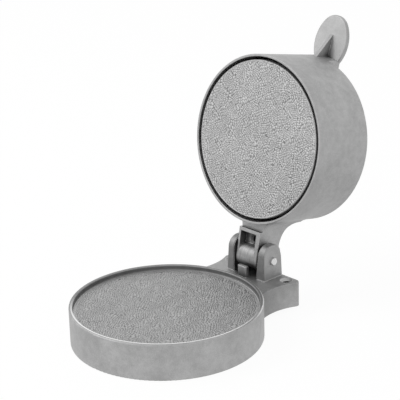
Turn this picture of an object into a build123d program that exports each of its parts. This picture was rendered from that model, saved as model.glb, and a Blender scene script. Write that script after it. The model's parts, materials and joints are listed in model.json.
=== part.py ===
"""Hinged cast-aluminium burger press with an adjustable press plate, shown open.

Millimetres, +Z up. The hinge pin runs along X behind the tray (+Y), and the user stands
on the -Y side. Everything is drawn round the centre of the tray, on the table. The lid
and all it carries are drawn closed over the tray, then turned back about the pin by
LID_OPEN_DEG, because the part is delivered open. Last of all, the whole press is moved
along Y, so that the origin lies under the middle of it, on the table.
"""
import math
import os

from build123d import *

os.makedirs("parts", exist_ok=True)

# The patty that the press makes drives the lid's bore, which is a little wider
PATTY_D = 114.3
PATTY_EASE = 1.0

# Small allowances used throughout
EMBED = 3.0
CUT_PAST = 1.0

# Adjusting gear, from the plate's back to the lid's roof
STUD_R = 4.0
STUD_RUNNING_GAP = 0.06
STUD_TIP_T = 3.75
STUD_TIP_GAP = 0.2
STUD_TAIL = 4.8
LOCK_NUT_AF = 13.0
LOCK_NUT_H = 5.0
PLATE_TRAVEL = 27.0
TRAVEL_END_GAP = 0.3

# Press plate
PLATE_RECESS = 0.3
PLATE_SIDE_GAP = 2.2
PLATE_WEB_T = 3.6
PLATE_SKIRT_H = 8.5
PLATE_SKIRT_T = 3.0
PLATE_EDGE_R = 0.8
PLATE_SEAT_RISE = 5.0
PLATE_BOSS_R = 8.5
PLATE_BOSS_H = 8.2
PLATE_RIBS = 6
PLATE_RIB_T = 3.0
PLATE_RIB_DROP = 0.4

# Spring round the plate's boss
SPRING_WIRE_R = 0.8
SPRING_BOSS_GAP = 1.25
SPRING_COIL_R = PLATE_BOSS_R + SPRING_BOSS_GAP + SPRING_WIRE_R
SPRING_TURNS = 6.5
SPRING_DEAD_TURNS = 0.9
SPRING_DEAD_GAP = 0.5
SEAT_MARGIN = 1.65
PLATE_SEAT_R = SPRING_COIL_R + SPRING_WIRE_R + SEAT_MARGIN
SEAT_WASHER_R = PLATE_SEAT_R
SEAT_WASHER_T = 1.0
WASHER_BORE_R = STUD_R + 0.3

# Lid cup, drawn closed
LID_BORE_R = PATTY_D / 2 + PATTY_EASE
LID_RIM_WALL = 1.7
LID_RIM_R = LID_BORE_R + LID_RIM_WALL
LID_TAPER = 0.45
LID_BACK_R = LID_RIM_R - LID_TAPER
LID_BORE_TAPER = 1.0
LID_BORE_BACK_R = LID_BORE_R - LID_BORE_TAPER
LID_ROOF_T = 4.0
LID_EDGE_R = 1.4
LID_ROOF_R = 3.0
PLATE_STACK_H = PLATE_RECESS + PLATE_SEAT_RISE + PLATE_BOSS_H + LOCK_NUT_H
LID_INSIDE_D = PLATE_STACK_H + PLATE_TRAVEL + TRAVEL_END_GAP + SEAT_WASHER_T
BOSS_R = 11.0
BOSS_DRAFT = 1.0
BOSS_H = 5.5

# Tray
TRAY_RIM_W = 2.6
TRAY_LID_GAP = 4.55
TRAY_R = LID_RIM_R + TRAY_LID_GAP + TRAY_RIM_W
TRAY_H = 26.4
TRAY_RECESS = 3.75
TRAY_FLOOR_Z = TRAY_H - TRAY_RECESS
TRAY_CORNER_R = 1.0
TRAY_FOOT_R = 1.2
TRAY_HOLLOW_R = 3.0
TRAY_FLOOR_T = 4.0
TRAY_WALL_T = 4.5

# Heights of the closed lid and what it carries
LID_SEAT_GAP = 0.1
LID_RIM_Z = TRAY_FLOOR_Z + LID_SEAT_GAP
LID_ROOF_Z = LID_RIM_Z + LID_INSIDE_D
LID_BACK_Z = LID_ROOF_Z + LID_ROOF_T
BOSS_TOP_Z = LID_BACK_Z + BOSS_H
PLATE_R = LID_BORE_R - PLATE_SIDE_GAP
PLATE_FACE_Z = LID_RIM_Z + PLATE_RECESS
PLATE_SEAT_Z = PLATE_FACE_Z + PLATE_SEAT_RISE

# Hinge: the pin stands behind the tray and above the lug platform
PLATFORM_RISE = 0.05
PLATFORM_TOP_Z = TRAY_FLOOR_Z + PLATFORM_RISE
PIN_SETBACK = 17.8
PIN_LIFT = 13.4
PIN_Y = TRAY_R + PIN_SETBACK
PIN_Z = PLATFORM_TOP_Z + PIN_LIFT
PIN_R = 2.8
PIN_PROUD = 1.8
PIN_END_CHAMFER = 0.5
PIN_RUNNING_GAP = 0.06
ARM_HALF_W = 10.3
EAR_EDGE_R = 0.8
KNUCKLE_R = 7.3
KNUCKLE_DROP = 2.4
LID_OPEN_DEG = 101.6

# Faces of the ears, as (at the foot, at the crown), measured outwards from the arm's side
RIGHT_EAR_GAP = (0.9, 3.9)
RIGHT_EAR_REACH = (9.0, 9.0)
LEFT_EAR_GAP = (0.6, 0.8)
LEFT_EAR_REACH = (8.2, 6.0)
EAR_OUTER_X = ARM_HALF_W + RIGHT_EAR_REACH[0]

# Outline of an ear, as (behind, above) the pin, from its front round to its back
EAR_FRONT = 9.0
EAR_FRONT_TOP = (-8.9, 5.3)
EAR_FRONT_BEND = (-6.4, 10.4)
EAR_CROWN = (-0.2, 12.4)
EAR_BACK_BEND = (4.4, 11.1)
EAR_SHOULDER = (7.5, 7.5)
EAR_BACK = (8.7, 2.1)
EAR_BACK_FOOT = 9.7

# Lug platform behind the tray, as (beyond the screw hole, behind the pin)
SCREW_HOLE_X = EAR_OUTER_X + 8.7
SCREW_HOLE_Y = PIN_Y + 4.5
SCREW_HOLE_R = 2.6
SCREW_SINK_R = 4.5
SCREW_METAL_R = 6.0
PLATFORM_ROOT = (6.2, -25.8)
PLATFORM_WAIST = (3.8, -9.2)
PLATFORM_CORNER = (8.2, 6.6)
PLATFORM_REAR = 10.6
PLATFORM_CORNER_R = 3.6
PLATFORM_EDGE_R = 0.7
PLATFORM_BOTTOM_Z = 4.2
PLATFORM_WALL_T = 4.5
PLATFORM_ROOF_T = 4.5
PLATFORM_CORE_HALF_W = 15.0

# Rear web between the ears: the lid's heel rests on it when the press stands open
WEB_DROP = 7.7
WEB_TOP_Z = PIN_Z - WEB_DROP
WEB_BEHIND = 6.5
WEB_T = 2.7
WEB_HALF_W = ARM_HALF_W + 4.8
WEB_FRONT_Y = PIN_Y + WEB_BEHIND
HEEL_NEAR = 0.3
HEEL_LEN = 4.0
HEEL_SLOPE = 2.4
STOP_GAP = 0.03

# Locating tab in front of the knuckle
TAB_HALF_W = 4.2
TAB_BEFORE = 12.2
TAB_FRONT_Y = PIN_Y - TAB_BEFORE
TAB_T = 3.0
TAB_H = 8.0
TAB_TOP_Z = PLATFORM_TOP_Z + TAB_H
TAB_EDGE_R = 0.5

# Hinge arm of the lid, drawn closed
ARM_FACE_Z = PIN_Z - KNUCKLE_R
ARM_BACK_H = 14.0
ARM_TOP_Z = PIN_Z + ARM_BACK_H
ARM_STEP_BEFORE = 19.0
ARM_STEP_Y = PIN_Y - ARM_STEP_BEFORE
ARM_STEP_H = 2.6
ARM_SWEEP_R = 17.5
ARM_SWEEP_PROUD = 0.4
ARM_FLARE_R = 9.0
ARM_FLARE_PROUD = 0.3
ARM_ROOT_D = 4.7
POCKET_HALF_W = 7.7
POCKET_X = -0.9
POCKET_DEPTH = 6.3
POCKET_WALL = 2.5
POCKET_END_Y = ARM_STEP_Y + POCKET_WALL
POCKET_FLOOR_Z = ARM_FACE_Z + POCKET_DEPTH
STOP_HOLE_BEFORE = 10.9
STOP_HOLE_Y = PIN_Y - STOP_HOLE_BEFORE
STOP_HOLE_R = 3.0
STOP_HOLE_SINK_R = 3.9

# Stop screw in the arm, set back from the pocket and from the arm's back
STOP_SCREW_GAP = 0.05
STOP_SCREW_SET_BACK = 3.2
STOP_SCREW_TAIL_GAP = 1.8
STOP_SCREW_HEX_AF = 3.0
STOP_SCREW_HEX_D = 3.5
STOP_SCREW_CHAMFER = 0.5

# Washer and wing nut on the lid's back
WING_WASHER_R = BOSS_R - 0.5
WING_WASHER_T = 1.6
WING_LIFT = 0.05
WING_HUB_R = 8.4
WING_HUB_TOP_R = 7.0
WING_HUB_H = 11.0
WING_T = 3.4
WING_SPAN = 40.0
WING_ROOT_X = 3.0
WING_ROOT_LOW = 1.5
WING_ROOT_HIGH = 9.0
WING_LOW = (6.0, 4.0)
WING_TIP = 10.5
WING_HIGH = (7.0, 14.8)
WING_EDGE_R = 1.0
WING_NUT_Z = BOSS_TOP_Z + WING_WASHER_T + WING_LIFT
STUD_END_Z = WING_NUT_Z + WING_HUB_H + STUD_TAIL

# Thumb tab at the front of the lid, drawn closed
THUMB_RISE = 8.95
THUMB_ROOT_Z = LID_BACK_Z + THUMB_RISE
THUMB_ROOT_R = LID_BACK_R - 0.5
THUMB_LEAN_DEG = 8.0
THUMB_TURN_DEG = 1.8
THUMB_HALF_W = 15.0
THUMB_HALF_L = 20.0
THUMB_END_R = 12.5
THUMB_CENTRE = 10.8
THUMB_T = 3.6
THUMB_EDGE_R = 1.1
ROOT_HALF_W = 11.5
ROOT_FLAT_L = 10.0
ROOT_NUT_GAP = 6.0
ROOT_END_Y = -(WING_SPAN / 2 + ROOT_NUT_GAP)
GUSSET_T = 2.6
GUSSET_HEIGHT = 17.4
GUSSET_DROP = 4.05


def cylinder_z(radius, z0, z1, x=0.0, y=0.0):
    """A cylinder standing on z0 and reaching z1."""
    return Pos(x, y, (z0 + z1) / 2) * Cylinder(radius, z1 - z0)


def cone_z(r0, r1, z0, z1, x=0.0, y=0.0):
    """A cone frustum with radius r0 at z0 and r1 at z1."""
    return Pos(x, y, (z0 + z1) / 2) * Cone(r0, r1, z1 - z0)


def cylinder_x(radius, x0, x1, y, z):
    """A cylinder lying along X from x0 to x1."""
    return Pos((x0 + x1) / 2, y, z) * Rot(0, 90, 0) * Cylinder(radius, x1 - x0)


def block(x0, x1, y0, y1, z0, z1):
    """An axis-aligned box between two corners."""
    centre = Pos((x0 + x1) / 2, (y0 + y1) / 2, (z0 + z1) / 2)
    return centre * Box(x1 - x0, y1 - y0, z1 - z0)


def side_slab(edges, x0, x1):
    """A closed outline in (y, z), drawn out along X from x0 to x1."""
    return extrude(Plane.YZ.offset(x0) * make_face(edges), amount=x1 - x0)


def plan_slab(edges, z0, z1):
    """A closed outline in (x, y), drawn up from z0 to z1."""
    return extrude(Plane.XY.offset(z0) * make_face(edges), amount=z1 - z0)


def turned(points):
    """A solid turned about Z from a closed outline of (r, z) points."""
    outline = make_face(Polyline(*points, close=True))
    return revolve(Plane.XZ * outline, axis=Axis.Z)


def rim_edges(shape, radius, z):
    """The circular edges of one radius that lie at one height."""
    return [
        edge
        for edge in shape.edges().filter_by(GeomType.CIRCLE)
        if abs(edge.radius - radius) < 0.02 and abs(edge.center().Z - z) < 0.02
    ]


def open_point(y, z):
    """Where a point (y, z) of the closed lid goes when the lid stands open."""
    angle = math.radians(LID_OPEN_DEG)
    dy, dz = y - PIN_Y, z - PIN_Z
    return (
        PIN_Y + dy * math.cos(angle) + dz * math.sin(angle),
        PIN_Z - dy * math.sin(angle) + dz * math.cos(angle),
    )


def closed_point(y, z):
    """Where a point (y, z) of the open lid goes when the lid is closed."""
    angle = math.radians(LID_OPEN_DEG)
    dy, dz = y - PIN_Y, z - PIN_Z
    return (
        PIN_Y + dy * math.cos(angle) - dz * math.sin(angle),
        PIN_Z + dy * math.sin(angle) + dz * math.cos(angle),
    )


def swung_open(shape):
    """The closed shape, turned back about the hinge pin to the open position."""
    return shape.rotate(Axis((0, PIN_Y, PIN_Z), (1, 0, 0)), -LID_OPEN_DEG)


def platform_outline(inset=0.0):
    """The lug platform seen from above, drawn in by the inset."""

    def placed(point):
        return (SCREW_HOLE_X + point[0] - inset, PIN_Y + point[1])

    root = placed(PLATFORM_ROOT)
    waist = placed(PLATFORM_WAIST)
    corner = (placed(PLATFORM_CORNER)[0], placed(PLATFORM_CORNER)[1] - inset)
    rear = (corner[0] - PLATFORM_CORNER_R, PIN_Y + PLATFORM_REAR - inset)
    bend = (corner[0] - 0.25 * PLATFORM_CORNER_R, rear[1] - 0.25 * PLATFORM_CORNER_R)

    def mirrored(point):
        return (-point[0], point[1])

    start = (root[0], TRAY_R / 2)
    return [
        Line(start, root),
        ThreePointArc(root, waist, corner),
        ThreePointArc(corner, bend, rear),
        Line(rear, mirrored(rear)),
        ThreePointArc(mirrored(rear), mirrored(bend), mirrored(corner)),
        ThreePointArc(mirrored(corner), mirrored(waist), mirrored(root)),
        Line(mirrored(root), mirrored(start)),
        Line(mirrored(start), start),
    ]


def ear_outline():
    """One hinge ear seen from the side: square front, round head, sloping back."""

    def placed(point):
        return (PIN_Y + point[0], PIN_Z + point[1])

    foot_z = PLATFORM_TOP_Z - EMBED
    front_foot = (PIN_Y - EAR_FRONT, foot_z)
    front_top = placed(EAR_FRONT_TOP)
    crown = placed(EAR_CROWN)
    shoulder = placed(EAR_SHOULDER)
    back = placed(EAR_BACK)
    back_foot = (PIN_Y + EAR_BACK_FOOT, foot_z)
    return [
        Line(front_foot, front_top),
        ThreePointArc(front_top, placed(EAR_FRONT_BEND), crown),
        ThreePointArc(crown, placed(EAR_BACK_BEND), shoulder),
        Line(shoulder, back),
        Line(back, back_foot),
        Line(back_foot, front_foot),
    ]


def beside_arm(offsets, z):
    """How far from the middle a face of an ear stands at a height z."""
    foot, crown = offsets
    share = (z - PLATFORM_TOP_Z) / (PIN_Z + EAR_CROWN[1] - PLATFORM_TOP_Z)
    return ARM_HALF_W + foot + (crown - foot) * share


def make_ear(side, gap, reach):
    """One hinge ear, with sides that lean as they were drawn from the mould."""
    outer_x = side * (ARM_HALF_W + reach[0])
    ear = side_slab(ear_outline(), min(0.0, outer_x), max(0.0, outer_x))
    face = ear.faces().sort_by(Axis.X)[-1 if side > 0 else 0]
    arcs = [e for e in face.edges() if e.center().Z > PLATFORM_TOP_Z + CUT_PAST]
    ear = fillet(arcs, EAR_EDGE_R)
    high_z = PIN_Z + EAR_CROWN[1] + CUT_PAST
    lean = math.atan2(reach[0] - beside_arm(reach, high_z) + ARM_HALF_W, high_z - PLATFORM_TOP_Z)
    foot = (outer_x, 0, PLATFORM_TOP_Z)
    ear = ear.rotate(Axis(foot, (0, 1, 0)), -side * math.degrees(lean))
    low_z = PLATFORM_TOP_Z - 2 * EMBED
    near_y, far_y = PIN_Y - 2 * EAR_FRONT, PIN_Y + 2 * EAR_FRONT
    corners = [
        (side * beside_arm(gap, low_z), low_z),
        (2 * outer_x, low_z),
        (2 * outer_x, high_z),
        (side * beside_arm(gap, high_z), high_z),
    ]
    wedge = make_face(Polyline(*corners, close=True))
    return ear & extrude(Plane.XZ.offset(-far_y) * wedge, amount=far_y - near_y)


def make_base_casting():
    """Tray, platform, ears, locating tab and rear web, cast in one piece."""
    cast = cylinder_z(TRAY_R, 0.0, TRAY_H)
    cast = fillet(rim_edges(cast, TRAY_R, 0.0), TRAY_FOOT_R)
    platform = plan_slab(platform_outline(), PLATFORM_BOTTOM_Z, PLATFORM_TOP_Z)
    platform = fillet(platform.faces().sort_by(Axis.Z)[-1].edges(), PLATFORM_EDGE_R)
    cast += platform
    recess_r = TRAY_R - TRAY_RIM_W
    recess = cylinder_z(recess_r, TRAY_FLOOR_Z, TRAY_H + CUT_PAST)
    recess = fillet(rim_edges(recess, recess_r, TRAY_FLOOR_Z), TRAY_CORNER_R)
    cast -= recess
    cast = fillet(rim_edges(cast, TRAY_R, TRAY_H), 0.3 * TRAY_RIM_W)
    cast = fillet(rim_edges(cast, recess_r, TRAY_H), 0.25 * TRAY_RIM_W)

    hollow_r = TRAY_R - TRAY_WALL_T
    hollow_z = TRAY_FLOOR_Z - TRAY_FLOOR_T
    hollow = cylinder_z(hollow_r, -CUT_PAST, hollow_z)
    cast -= fillet(rim_edges(hollow, hollow_r, hollow_z), TRAY_HOLLOW_R)
    lug_hollow = plan_slab(
        platform_outline(PLATFORM_WALL_T),
        PLATFORM_BOTTOM_Z - CUT_PAST,
        PLATFORM_TOP_Z - PLATFORM_ROOF_T,
    )
    core_x = PLATFORM_CORE_HALF_W
    wide_x = 2 * SCREW_HOLE_X
    lug_front = SCREW_HOLE_Y - SCREW_METAL_R - CUT_PAST / 2
    lug_rear = PIN_Y + PLATFORM_REAR + CUT_PAST
    lug_hollow -= block(-core_x, core_x, 0.0, lug_rear, 0.0, TRAY_H)
    lug_hollow -= cylinder_z(TRAY_R + CUT_PAST / 2, 0.0, TRAY_H)
    lug_hollow -= block(-wide_x, wide_x, lug_front, lug_rear, 0.0, TRAY_H)
    cast -= lug_hollow

    cast += make_ear(1, RIGHT_EAR_GAP, RIGHT_EAR_REACH)
    cast += make_ear(-1, LEFT_EAR_GAP, LEFT_EAR_REACH)
    for side in (-1, 1):
        hole_x, hole_y = side * SCREW_HOLE_X, SCREW_HOLE_Y
        top_z = PLATFORM_TOP_Z
        cast -= cylinder_z(SCREW_HOLE_R, -CUT_PAST, top_z + CUT_PAST, hole_x, hole_y)
        sink_z = top_z - (SCREW_SINK_R - SCREW_HOLE_R)
        cast -= cone_z(SCREW_HOLE_R, SCREW_SINK_R, sink_z, top_z, hole_x, hole_y)

    foot_z = PLATFORM_TOP_Z - EMBED
    web_back = WEB_FRONT_Y + WEB_T
    cast += block(-WEB_HALF_W, WEB_HALF_W, WEB_FRONT_Y, web_back, foot_z, WEB_TOP_Z)
    tab_back = TAB_FRONT_Y + TAB_T
    tab = block(-TAB_HALF_W, TAB_HALF_W, TAB_FRONT_Y, tab_back, foot_z, TAB_TOP_Z)
    tab = fillet(tab.edges().filter_by(Axis.Z), TAB_EDGE_R)
    cast += fillet(tab.faces().sort_by(Axis.Z)[-1].edges(), TAB_EDGE_R)
    past_x = EAR_OUTER_X + CUT_PAST
    cast -= cylinder_x(PIN_R, -past_x, past_x, PIN_Y, PIN_Z)
    return cast


def make_hinge_pin():
    """Plain steel pin, pressed into both ears and standing a little proud of them."""
    right_x = beside_arm(RIGHT_EAR_REACH, PIN_Z) + PIN_PROUD
    left_x = -beside_arm(LEFT_EAR_REACH, PIN_Z) - PIN_PROUD
    pin = cylinder_x(PIN_R, left_x, right_x, PIN_Y, PIN_Z)
    return chamfer(pin.edges().filter_by(GeomType.CIRCLE), PIN_END_CHAMFER)


def arm_side_outline():
    """The lid's hinge arm seen from the side, closed: knuckle, stop heel and sweep."""
    heel_near = closed_point(WEB_FRONT_Y + HEEL_NEAR, WEB_TOP_Z + STOP_GAP)
    heel_far = closed_point(WEB_FRONT_Y + HEEL_LEN, WEB_TOP_Z + STOP_GAP)
    heel_top = (heel_far[0] - HEEL_SLOPE, ARM_TOP_Z)
    knuckle_y = PIN_Y + KNUCKLE_DROP
    angle = math.atan2(heel_near[1] - PIN_Z, heel_near[0] - knuckle_y)
    knuckle_end = (
        knuckle_y + KNUCKLE_R * math.cos(angle),
        PIN_Z + KNUCKLE_R * math.sin(angle),
    )
    neck_z = ARM_FACE_Z + ARM_STEP_H
    inner_y = LID_BACK_R - ARM_ROOT_D
    sweep_y = LID_BACK_R + ARM_SWEEP_PROUD
    sweep_z = ARM_TOP_Z + ARM_SWEEP_R
    sweep_mid = (
        sweep_y + ARM_SWEEP_R * (1 - math.sin(math.radians(45))),
        sweep_z - ARM_SWEEP_R * math.cos(math.radians(45)),
    )
    knuckle_foot = (knuckle_y, ARM_FACE_Z)
    return [
        Line((inner_y, neck_z), (ARM_STEP_Y, neck_z)),
        Line((ARM_STEP_Y, neck_z), (ARM_STEP_Y, ARM_FACE_Z)),
        Line((ARM_STEP_Y, ARM_FACE_Z), knuckle_foot),
        ThreePointArc(knuckle_foot, (knuckle_y + KNUCKLE_R, PIN_Z), knuckle_end),
        Line(knuckle_end, heel_near),
        Line(heel_near, heel_far),
        Line(heel_far, heel_top),
        Line(heel_top, (sweep_y + ARM_SWEEP_R, ARM_TOP_Z)),
        ThreePointArc((sweep_y + ARM_SWEEP_R, ARM_TOP_Z), sweep_mid, (sweep_y, sweep_z)),
        Line((sweep_y, sweep_z), (inner_y, sweep_z)),
        Line((inner_y, sweep_z), (inner_y, neck_z)),
    ]


def arm_plan_outline():
    """The lid's hinge arm seen from above: parallel sides that flare into the cup."""
    wall_r = LID_BACK_R + ARM_FLARE_PROUD
    flare_x = ARM_HALF_W + ARM_FLARE_R
    flare_y = math.sqrt((wall_r + ARM_FLARE_R) ** 2 - flare_x**2)
    scale = wall_r / (wall_r + ARM_FLARE_R)
    touch = (flare_x * scale, flare_y * scale)
    start = (ARM_HALF_W, flare_y)
    way = math.atan2(touch[1] - flare_y, touch[0] - flare_x) % (2 * math.pi)
    mid_angle = (math.pi + way) / 2
    mid = (
        flare_x + ARM_FLARE_R * math.cos(mid_angle),
        flare_y + ARM_FLARE_R * math.sin(mid_angle),
    )
    tail_y = PIN_Y + 2 * KNUCKLE_R
    inner_y = LID_BACK_R - 2 * ARM_ROOT_D

    def mirrored(point):
        return (-point[0], point[1])

    tail = (ARM_HALF_W, tail_y)
    inner = (touch[0], inner_y)
    return [
        Line(mirrored(tail), tail),
        Line(tail, start),
        ThreePointArc(start, mid, touch),
        Line(touch, inner),
        Line(inner, mirrored(inner)),
        Line(mirrored(inner), mirrored(touch)),
        ThreePointArc(mirrored(touch), mirrored(mid), mirrored(start)),
        Line(mirrored(start), mirrored(tail)),
    ]


def make_arm():
    """The hinge arm with its pocket, pin bore and stop-screw hole, drawn closed."""
    wide_x = ARM_HALF_W + 2 * ARM_FLARE_R
    arm = side_slab(arm_side_outline(), -wide_x, wide_x)
    arm &= plan_slab(arm_plan_outline(), ARM_FACE_Z - CUT_PAST, LID_BACK_Z)
    pocket = block(
        POCKET_X - POCKET_HALF_W,
        POCKET_X + POCKET_HALF_W,
        POCKET_END_Y,
        PIN_Y,
        ARM_FACE_Z - CUT_PAST,
        POCKET_FLOOR_Z,
    )
    pocket -= cylinder_x(KNUCKLE_R, -ARM_HALF_W, ARM_HALF_W, PIN_Y, PIN_Z)
    arm -= pocket
    hole = (POCKET_X, STOP_HOLE_Y)
    sink_z = POCKET_FLOOR_Z + STOP_HOLE_SINK_R - STOP_HOLE_R
    arm -= cylinder_z(STOP_HOLE_R, POCKET_FLOOR_Z - CUT_PAST, ARM_TOP_Z + CUT_PAST, *hole)
    arm -= cone_z(STOP_HOLE_SINK_R, STOP_HOLE_R, POCKET_FLOOR_Z, sink_z, *hole)
    past_x = ARM_HALF_W + CUT_PAST
    arm -= cylinder_x(PIN_R + PIN_RUNNING_GAP, -past_x, past_x, PIN_Y, PIN_Z)
    return arm


def make_oval(half_w, half_l, end_r):
    """Oval of four arcs: two ends of radius end_r and two flatter sides."""
    end_y = half_l - end_r
    side_r = (end_y**2 + half_w**2 - end_r**2) / (2 * (half_w - end_r))
    reach = math.hypot(side_r - half_w, end_y)
    join_x = side_r * (side_r - half_w) / reach - (side_r - half_w)
    join_y = side_r * end_y / reach
    right = ThreePointArc((join_x, -join_y), (half_w, 0), (join_x, join_y))
    top = ThreePointArc((join_x, join_y), (0, half_l), (-join_x, join_y))
    left = ThreePointArc((-join_x, join_y), (-half_w, 0), (-join_x, -join_y))
    foot = ThreePointArc((-join_x, -join_y), (0, -half_l), (join_x, -join_y))
    return make_face([right, top, left, foot])


def make_thumb_tab():
    """Oval thumb tab with its gusset and the root that carries it, drawn closed."""
    lean = math.radians(THUMB_LEAN_DEG)
    plane = Plane(
        origin=(0, -THUMB_ROOT_R, THUMB_ROOT_Z),
        x_dir=(1, 0, 0),
        z_dir=(0, math.sin(lean), math.cos(lean)),
    )
    oval = Pos(0, -THUMB_CENTRE) * make_oval(THUMB_HALF_W, THUMB_HALF_L, THUMB_END_R)
    tab = extrude(plane * oval, amount=THUMB_T)
    tab = fillet(tab.edges(), THUMB_EDGE_R)

    root_top = THUMB_ROOT_Z + THUMB_T
    root_foot = LID_BACK_Z - LID_ROOF_T / 2
    root_points = [
        (-LID_RIM_R, root_foot),
        (-LID_RIM_R, root_top - THUMB_EDGE_R),
        (ROOT_FLAT_L - LID_RIM_R, root_top - 1.5 * THUMB_EDGE_R),
        (ROOT_END_Y, LID_BACK_Z - CUT_PAST / 4),
        (ROOT_END_Y, root_foot),
    ]
    root = side_slab([Polyline(*root_points, close=True)], -ROOT_HALF_W, ROOT_HALF_W)
    root &= cylinder_z(LID_BACK_R, root_foot - CUT_PAST, root_top + CUT_PAST)

    heel_y = CUT_PAST - THUMB_ROOT_R
    heel_z = THUMB_ROOT_Z + CUT_PAST / 2
    apex = (-THUMB_ROOT_R - GUSSET_HEIGHT, heel_z + GUSSET_HEIGHT * math.tan(lean))
    gusset_points = [(heel_y, LID_BACK_Z - GUSSET_DROP), apex, (heel_y, heel_z)]
    half_t = GUSSET_T / 2
    gusset = side_slab([Polyline(*gusset_points, close=True)], -half_t, half_t)
    return (tab + root + gusset).rotate(Axis.Z, THUMB_TURN_DEG)


def make_lid_casting():
    """Cup, hinge arm, thumb tab and stud boss, cast in one piece."""
    cup = turned(
        [(0, LID_RIM_Z), (LID_RIM_R, LID_RIM_Z), (LID_BACK_R, LID_BACK_Z), (0, LID_BACK_Z)]
    )
    cup = fillet(rim_edges(cup, LID_BACK_R, LID_BACK_Z), LID_EDGE_R)
    cup += cone_z(BOSS_R + BOSS_DRAFT, BOSS_R, LID_BACK_Z - CUT_PAST, BOSS_TOP_Z)
    cup += make_arm()
    cup += make_thumb_tab()
    bore = turned(
        [
            (0, LID_RIM_Z - CUT_PAST),
            (LID_BORE_R, LID_RIM_Z - CUT_PAST),
            (LID_BORE_R, LID_RIM_Z),
            (LID_BORE_BACK_R, LID_ROOF_Z),
            (0, LID_ROOF_Z),
        ]
    )
    cup -= fillet(rim_edges(bore, LID_BORE_BACK_R, LID_ROOF_Z), LID_ROOF_R)
    cup = chamfer(rim_edges(cup, LID_BORE_R, LID_RIM_Z), 0.16 * LID_RIM_WALL)
    cup = fillet(rim_edges(cup, LID_RIM_R, LID_RIM_Z), 0.2 * LID_RIM_WALL)
    stud_bore_r = STUD_R + STUD_RUNNING_GAP
    cup -= cylinder_z(stud_bore_r, LID_ROOF_Z - CUT_PAST, BOSS_TOP_Z + CUT_PAST)
    return cup


def make_press_plate():
    """Dished plate with a flat pebbled face, a skirt, ribs and a threaded boss."""
    skirt_z = PLATE_FACE_Z + PLATE_SKIRT_H
    web_z = PLATE_FACE_Z + PLATE_WEB_T
    boss_z = PLATE_SEAT_Z + PLATE_BOSS_H
    plate = cylinder_z(PLATE_R, PLATE_FACE_Z, skirt_z)
    inside_r = PLATE_R - PLATE_SKIRT_T
    plate -= cylinder_z(inside_r, web_z, skirt_z + CUT_PAST)
    plate = fillet(rim_edges(plate, PLATE_R, PLATE_FACE_Z), PLATE_EDGE_R)
    root_z = web_z - PLATE_WEB_T / 2
    plate += cylinder_z(PLATE_SEAT_R, root_z, PLATE_SEAT_Z)
    plate += cylinder_z(PLATE_BOSS_R, root_z, boss_z)
    rib = block(
        PLATE_BOSS_R,
        inside_r + PLATE_SKIRT_T / 2,
        -PLATE_RIB_T / 2,
        PLATE_RIB_T / 2,
        root_z,
        PLATE_SEAT_Z - PLATE_RIB_DROP,
    )
    for i in range(PLATE_RIBS):
        plate += Rot(0, 0, 30 + 360 / PLATE_RIBS * i) * rib
    plate -= cylinder_z(STUD_R, PLATE_FACE_Z + STUD_TIP_T, boss_z + CUT_PAST)
    return plate


def make_stud():
    """Adjusting stud, fixed in the plate's boss and passing out through the lid."""
    stud = cylinder_z(STUD_R, PLATE_FACE_Z + STUD_TIP_T + STUD_TIP_GAP, STUD_END_Z)
    return chamfer(stud.edges().filter_by(GeomType.CIRCLE), 0.2 * STUD_R)


def hexagon_block(across_flats, z0, z1):
    """A hexagonal prism of the given width across flats."""
    outline = RegularPolygon(across_flats / 2, 6, major_radius=False)
    return extrude(Plane.XY.offset(z0) * outline, amount=z1 - z0)


def make_lock_nut():
    """Thin hexagon nut that locks the stud on the plate's boss."""
    z0 = PLATE_SEAT_Z + PLATE_BOSS_H
    z1 = z0 + LOCK_NUT_H
    nut = hexagon_block(LOCK_NUT_AF, z0, z1)
    crown_r = LOCK_NUT_AF / 2
    cone = cone_z(1.46 * crown_r, 0.985 * crown_r, z0, z1)
    nut &= cone + cylinder_z(crown_r, z0, z1)
    nut -= cylinder_z(STUD_R, z0 - CUT_PAST, z1 + CUT_PAST)
    return nut


def make_spring():
    """Compression spring between the plate and the lid, with closed ends."""
    z0 = PLATE_SEAT_Z + SPRING_WIRE_R
    z1 = LID_ROOF_Z - SEAT_WASHER_T - SPRING_WIRE_R
    dead_pitch = 2 * SPRING_WIRE_R + SPRING_DEAD_GAP
    active_turns = SPRING_TURNS - 2 * SPRING_DEAD_TURNS
    active_pitch = (z1 - z0 - 2 * SPRING_DEAD_TURNS * dead_pitch) / active_turns
    per_turn = 12
    steps = int(SPRING_TURNS * per_turn)
    ease = 0.35
    points = []
    height = 0.0
    for i in range(steps + 1):
        turn = i / per_turn
        points.append((turn, height))
        inside = min(turn - SPRING_DEAD_TURNS, SPRING_TURNS - SPRING_DEAD_TURNS - turn)
        share = min(max(inside / ease, 0.0), 1.0)
        height += (dead_pitch + (active_pitch - dead_pitch) * share) / per_turn
    stretch = (z1 - z0) / points[-1][1]
    path = [
        (
            SPRING_COIL_R * math.cos(2 * math.pi * turn),
            SPRING_COIL_R * math.sin(2 * math.pi * turn),
            z0 + rise * stretch,
        )
        for turn, rise in points
    ]
    lowest = min(
        path[i + per_turn][2] - path[i][2] for i in range(len(path) - per_turn)
    )
    print("spring: least gap between turns", round(lowest - 2 * SPRING_WIRE_R, 2), "mm")
    wire = Spline(*path)
    section = Plane(origin=wire @ 0, z_dir=wire % 0) * Circle(SPRING_WIRE_R)
    return sweep(section, path=wire)


def make_washer(outer_r, bore_r, z0, z1):
    """A plain washer."""
    return cylinder_z(outer_r, z0, z1) - cylinder_z(bore_r, z0 - CUT_PAST, z1 + CUT_PAST)


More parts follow.
